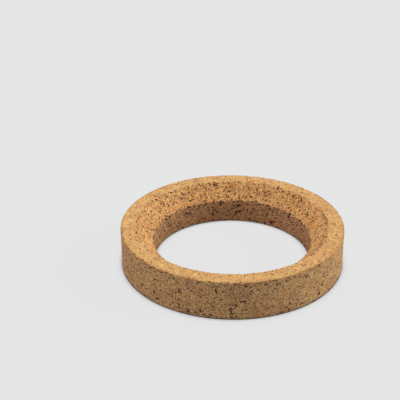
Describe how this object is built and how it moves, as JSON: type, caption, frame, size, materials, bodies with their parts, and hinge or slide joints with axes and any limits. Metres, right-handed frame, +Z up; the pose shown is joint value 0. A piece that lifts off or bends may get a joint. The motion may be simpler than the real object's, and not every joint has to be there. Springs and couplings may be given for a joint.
{
  "type": "cork ring",
  "caption": "Ring of agglomerated cork with a flat rim, a conical seat and a straight through bore: a stand that keeps a round-bottomed flask upright.",
  "frame": {"origin": "centre of the flat base", "axes": "+Z up along the ring's axis, towards the seat; X and Y are alike, as the ring is a body of revolution"},
  "size_m": [0.17, 0.17, 0.03],
  "materials": {
    "cork": "agglomerated cork, sanded matt on the rim and walls, coarser and torn on the seat, with small dark pits"
  },
  "bodies": {
    "root": {"cork_ring": "cork"}
  },
  "joints": []
}
